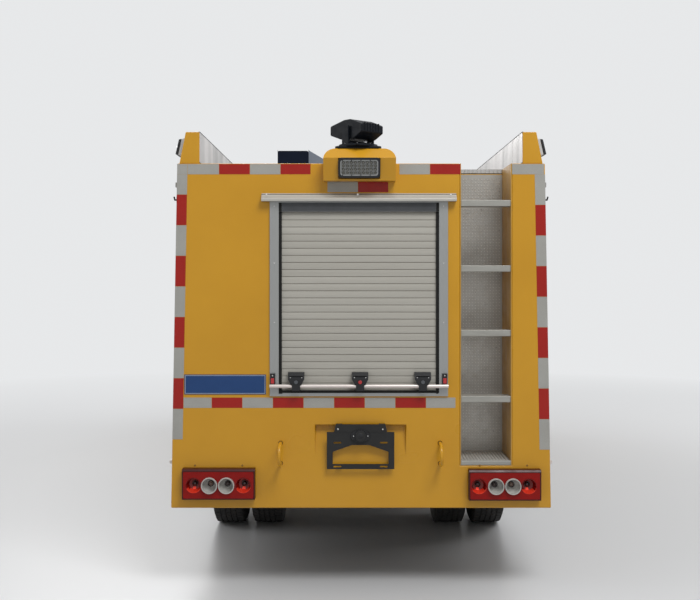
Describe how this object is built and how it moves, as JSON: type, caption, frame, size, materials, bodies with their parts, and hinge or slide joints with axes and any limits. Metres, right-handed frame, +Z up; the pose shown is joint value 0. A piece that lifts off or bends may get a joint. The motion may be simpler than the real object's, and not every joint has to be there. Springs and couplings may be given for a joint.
{
  "type": "rescue truck",
  "caption": "Light rescue truck with a four-door crew cab, box body with roller shutters on three sides, rear ladder recess, work lamps, searchlight and folding roof mast",
  "frame": {"origin": "middle of the truck's overall box, on the ground under the tyres", "axes": "+Y forward to the cab's front, +X the truck's right, +Z up"},
  "size_m": [2.24, 5.995, 2.3309],
  "materials": {
    "yellow_paint": "gloss yellow-orange coach paint",
    "frame_black": "satin black chassis paint",
    "silver_paint": "silver wheel paint",
    "alloy": "anodised profile",
    "chequer": "raised chequer pattern",
    "curtain": "light grey slats",
    "black_plastic": "grained black",
    "grey_plastic": "satin dark grey",
    "lamp_red": "dark red lamp housing",
    "lamp_clear": "clear lamp cover over a reflector",
    "beacon_red": "red beacon cover",
    "tyre_rubber": "road tyre",
    "iron": "oily cast iron",
    "steel": "dull steel",
    "glass": "tinted safety glass",
    "trim_grey": "dark grey woven seat cloth"
  },
  "bodies": {
    "root": {"chassis_frame": "frame_black", "engine_and_driveline": "iron", "front_axle": "frame_black", "rear_axle": "frame_black", "leaf_springs": "frame_black", "fuel_tank": "black_plastic", "exhaust": "steel", "front_bumper": "yellow_paint", "body_floor": "alloy", "left_side_wall": "yellow_paint", "right_side_wall": "yellow_paint", "front_bulkhead": "yellow_paint", "rear_wall": "yellow_paint", "roof_deck": "chequer", "roof_parapets": "yellow_paint", "shutter_frames": "alloy", "shutter_curtains": "curtain", "shutter_bars": "alloy", "ladder_recess": "yellow_paint", "ladder_steps": "chequer", "tail_lamps": "lamp_red", "plate_bracket": "grey_plastic", "tow_eyes": "yellow_paint", "lamp_hood": "yellow_paint", "work_lamps": "grey_plastic", "searchlight_base": "black_plastic", "mast_base": "grey_plastic"},
    "searchlight_turn": {"searchlight_neck": "black_plastic"},
    "searchlight_lamp": {"searchlight_head": "black_plastic"},
    "mast_arm": {"mast_arm": "alloy"},
    "mast_extension": {"mast_head": "grey_plastic"},
    "cab": {"cab_shell": "yellow_paint", "windscreen": "glass", "dashboard": "black_plastic", "steering_wheel": "black_plastic", "front_seats": "trim_grey", "rear_bench": "trim_grey", "grille": "black_plastic", "headlamps": "lamp_clear", "mirrors": "black_plastic", "light_bar": "beacon_red"},
    "front_left_door": {"front_left_door": "yellow_paint", "front_left_door_glass": "glass"},
    "front_right_door": {"front_right_door": "yellow_paint", "front_right_door_glass": "glass"},
    "rear_left_door": {"rear_left_door": "yellow_paint", "rear_left_door_glass": "glass"},
    "rear_right_door": {"rear_right_door": "yellow_paint", "rear_right_door_glass": "glass"},
    "front_left_steer": {"front_left_knuckle": "frame_black"},
    "front_left_wheel": {"front_left_tyre": "tyre_rubber", "front_left_wheel": "silver_paint"},
    "rear_left_wheels": {"rear_left_tyres": "tyre_rubber", "rear_left_wheels": "silver_paint"},
    "front_right_steer": {"front_right_knuckle": "frame_black"},
    "front_right_wheel": {"front_right_tyre": "tyre_rubber", "front_right_wheel": "silver_paint"},
    "rear_right_wheels": {"rear_right_tyres": "tyre_rubber", "rear_right_wheels": "silver_paint"}
  },
  "joints": [
    {"name": "front_left_steering", "type": "hinge", "parent": "root", "child": "front_left_steer", "pos_m": [-0.59, 1.905, 0.3875], "axis": [0, 0, 1], "range_deg": [-34, 34]},
    {"name": "front_left_spin", "type": "hinge", "parent": "front_left_steer", "child": "front_left_wheel", "pos_m": [-0.7, 1.905, 0.3875], "axis": [1, 0, 0], "continuous": true},
    {"name": "rear_left_spin", "type": "hinge", "parent": "root", "child": "rear_left_wheels", "pos_m": [-0.67, -1.455, 0.3875], "axis": [1, 0, 0], "continuous": true},
    {"name": "front_left_door_swing", "type": "hinge", "parent": "cab", "child": "front_left_door", "pos_m": [-0.8895, 2.645, 1.3], "axis": [0, 0, -1], "range_deg": [0, 68]},
    {"name": "rear_left_door_swing", "type": "hinge", "parent": "cab", "child": "rear_left_door", "pos_m": [-0.8895, 1.505, 1.3], "axis": [0, 0, -1], "range_deg": [0, 68]},
    {"name": "front_right_steering", "type": "hinge", "parent": "root", "child": "front_right_steer", "pos_m": [0.59, 1.905, 0.3875], "axis": [0, 0, 1], "range_deg": [-34, 34]},
    {"name": "front_right_spin", "type": "hinge", "parent": "front_right_steer", "child": "front_right_wheel", "pos_m": [0.7, 1.905, 0.3875], "axis": [1, 0, 0], "continuous": true},
    {"name": "rear_right_spin", "type": "hinge", "parent": "root", "child": "rear_right_wheels", "pos_m": [0.67, -1.455, 0.3875], "axis": [1, 0, 0], "continuous": true},
    {"name": "front_right_door_swing", "type": "hinge", "parent": "cab", "child": "front_right_door", "pos_m": [0.8895, 2.645, 1.3], "axis": [0, 0, 1], "range_deg": [0, 68]},
    {"name": "rear_right_door_swing", "type": "hinge", "parent": "cab", "child": "rear_right_door", "pos_m": [0.8895, 1.505, 1.3], "axis": [0, 0, 1], "range_deg": [0, 68]},
    {"name": "cab_tilt", "type": "hinge", "parent": "root", "child": "cab", "pos_m": [0, 2.86, 0.66], "axis": [-1, 0, 0], "range_deg": [0, 45]},
    {"name": "searchlight_pan", "type": "hinge", "parent": "root", "child": "searchlight_turn", "pos_m": [-0.014, -2.862, 2.17], "axis": [0, 0, 1], "range_deg": [-170, 170]},
    {"name": "searchlight_tilt", "type": "hinge", "parent": "searchlight_turn", "child": "searchlight_lamp", "pos_m": [-0.014, -2.862, 2.25], "axis": [0.7431, 0.6691, 0], "range_deg": [-25, 25]},
    {"name": "mast_raise", "type": "hinge", "parent": "root", "child": "mast_arm", "pos_m": [-0.376, -1.96, 2.205], "axis": [1, 0, 0], "range_deg": [0, 90]},
    {"name": "mast_extend", "type": "slide", "parent": "mast_arm", "child": "mast_extension", "axis": [0, 1, 0], "range_m": [0, 0.7]}
  ],
  "couplings": [
    {"joint": "front_right_steering", "follows": "front_left_steering", "ratio": 1}
  ]
}
